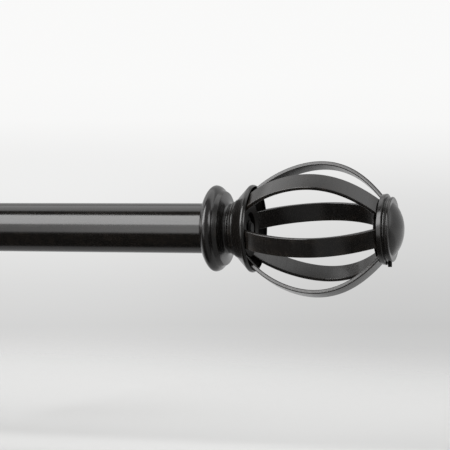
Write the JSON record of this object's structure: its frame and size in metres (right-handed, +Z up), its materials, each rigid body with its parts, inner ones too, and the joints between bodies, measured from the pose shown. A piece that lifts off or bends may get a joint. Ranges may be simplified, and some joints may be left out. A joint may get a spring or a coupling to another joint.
{
  "type": "curtain rod with brackets",
  "caption": "Telescoping curtain rod with open cage finials, lying in two adjustable wall brackets with clamp screws.",
  "frame": {"origin": "middle of the right bracket's wall plate, on its back face, where it meets the wall", "axes": "+X along the rod towards the right finial, +Y into the wall, +Z up; the room is at -Y"},
  "size_m": [0.9116, 0.1587, 0.076],
  "materials": {
    "black_bronze": "glossy baked lacquer, almost black with a faint warm brown cast, over steel tube and turned metal",
    "zinc_plate": "bright zinc plate on the hidden plugs and the wall screws",
    "black_oxide": "black oxide on the steel studs, nuts and small screws of the finials",
    "black_nylon": "satin black nylon"
  },
  "bodies": {
    "wall_brackets": {"wall_plate_right": "black_bronze", "socket_right": "black_bronze", "wall_screw_right_upper": "zinc_plate", "wall_screw_right_lower": "zinc_plate", "wall_plate_left": "black_bronze", "socket_left": "black_bronze", "wall_screw_left_upper": "zinc_plate", "wall_screw_left_lower": "zinc_plate"},
    "arm_right": {"arm_right": "black_bronze", "cradle_right": "black_bronze"},
    "arm_left": {"arm_left": "black_bronze", "cradle_left": "black_bronze"},
    "clamp_screw_right": {"clamp_screw_right": "black_bronze"},
    "clamp_screw_left": {"clamp_screw_left": "black_bronze"},
    "lock_screw_right": {"lock_screw_right": "black_bronze"},
    "lock_screw_left": {"lock_screw_left": "black_bronze"},
    "rod": {"outer_tube": "black_bronze", "mouth_ring": "black_nylon", "end_plug_right": "zinc_plate", "stud_right": "black_oxide", "collar_right": "black_bronze"},
    "inner_rod": {"inner_tube": "black_bronze", "guide_plug": "black_nylon", "end_plug_left": "zinc_plate", "stud_left": "black_oxide", "collar_left": "black_bronze"},
    "finial_right": {"cup_right": "black_bronze", "lock_nut_right": "black_oxide", "base_ring_right": "black_bronze", "rib_right_1": "black_bronze", "rib_right_2": "black_bronze", "rib_right_3": "black_bronze", "rib_right_4": "black_bronze", "rib_right_5": "black_bronze", "rib_right_6": "black_bronze", "tip_hub_right": "black_bronze", "cap_right": "black_bronze", "cap_screw_right": "black_oxide", "cap_set_screw_right": "black_oxide"},
    "finial_left": {"cup_left": "black_bronze", "lock_nut_left": "black_oxide", "base_ring_left": "black_bronze", "rib_left_1": "black_bronze", "rib_left_2": "black_bronze", "rib_left_3": "black_bronze", "rib_left_4": "black_bronze", "rib_left_5": "black_bronze", "rib_left_6": "black_bronze", "tip_hub_left": "black_bronze", "cap_left": "black_bronze", "cap_screw_left": "black_oxide", "cap_set_screw_left": "black_oxide"}
  },
  "joints": [
    {"name": "bracket_projection_right", "type": "slide", "parent": "wall_brackets", "child": "arm_right", "axis": [0, -1, 0], "range_m": [0, 0.025]},
    {"name": "bracket_projection_left", "type": "slide", "parent": "wall_brackets", "child": "arm_left", "axis": [0, -1, 0], "range_m": [0, 0.025]},
    {"name": "rod_lift", "type": "slide", "parent": "arm_right", "child": "rod", "axis": [0, 0, 1], "range_m": [0, 0.045]},
    {"name": "rod_telescope", "type": "slide", "parent": "rod", "child": "inner_rod", "axis": [-1, 0, 0], "range_m": [0, 0.508]},
    {"name": "finial_right_turn", "type": "hinge", "parent": "rod", "child": "finial_right", "pos_m": [0.185, -0.09, 0], "axis": [1, 0, 0], "continuous": true},
    {"name": "finial_left_turn", "type": "hinge", "parent": "inner_rod", "child": "finial_left", "pos_m": [-0.526, -0.09, 0], "axis": [-1, 0, 0], "continuous": true},
    {"name": "clamp_screw_right_travel", "type": "slide", "parent": "arm_right", "child": "clamp_screw_right", "axis": [0, -1, 0], "range_m": [0, 0.0035]},
    {"name": "clamp_screw_left_travel", "type": "slide", "parent": "arm_left", "child": "clamp_screw_left", "axis": [0, -1, 0], "range_m": [0, 0.0035]},
    {"name": "lock_screw_right_travel", "type": "slide", "parent": "wall_brackets", "child": "lock_screw_right", "axis": [0, 0, -1], "range_m": [0, 0.0035]},
    {"name": "lock_screw_left_travel", "type": "slide", "parent": "wall_brackets", "child": "lock_screw_left", "axis": [0, 0, -1], "range_m": [0, 0.0035]}
  ],
  "couplings": [
    {"joint": "bracket_projection_left", "follows": "bracket_projection_right", "ratio": 1}
  ]
}
